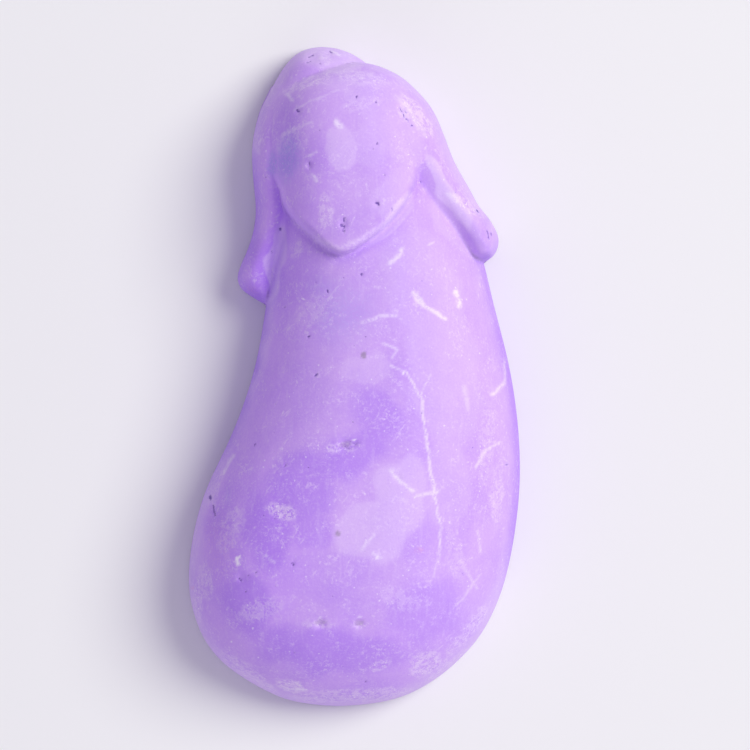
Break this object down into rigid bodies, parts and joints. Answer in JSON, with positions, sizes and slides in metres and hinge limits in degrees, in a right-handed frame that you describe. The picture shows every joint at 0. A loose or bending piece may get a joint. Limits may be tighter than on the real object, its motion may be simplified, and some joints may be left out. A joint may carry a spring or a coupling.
{
  "type": "aubergine-shaped chalk piece",
  "caption": "Moulded chalk for drawing on boards or paving: an aubergine in half relief, with a leafy cap, a stub of stem and a flat back.",
  "frame": {"origin": "on the flat back, in the middle of the outline's length and width", "axes": "+Y along the length towards the stem, +Z out of the flat back towards the crown, +X to the right seen from the front"},
  "size_m": [0.0453, 0.09, 0.021],
  "materials": {
    "chalk": "matt, dusty, lilac all through"
  },
  "bodies": {
    "root": {"chalk_aubergine": "chalk"}
  },
  "joints": []
}
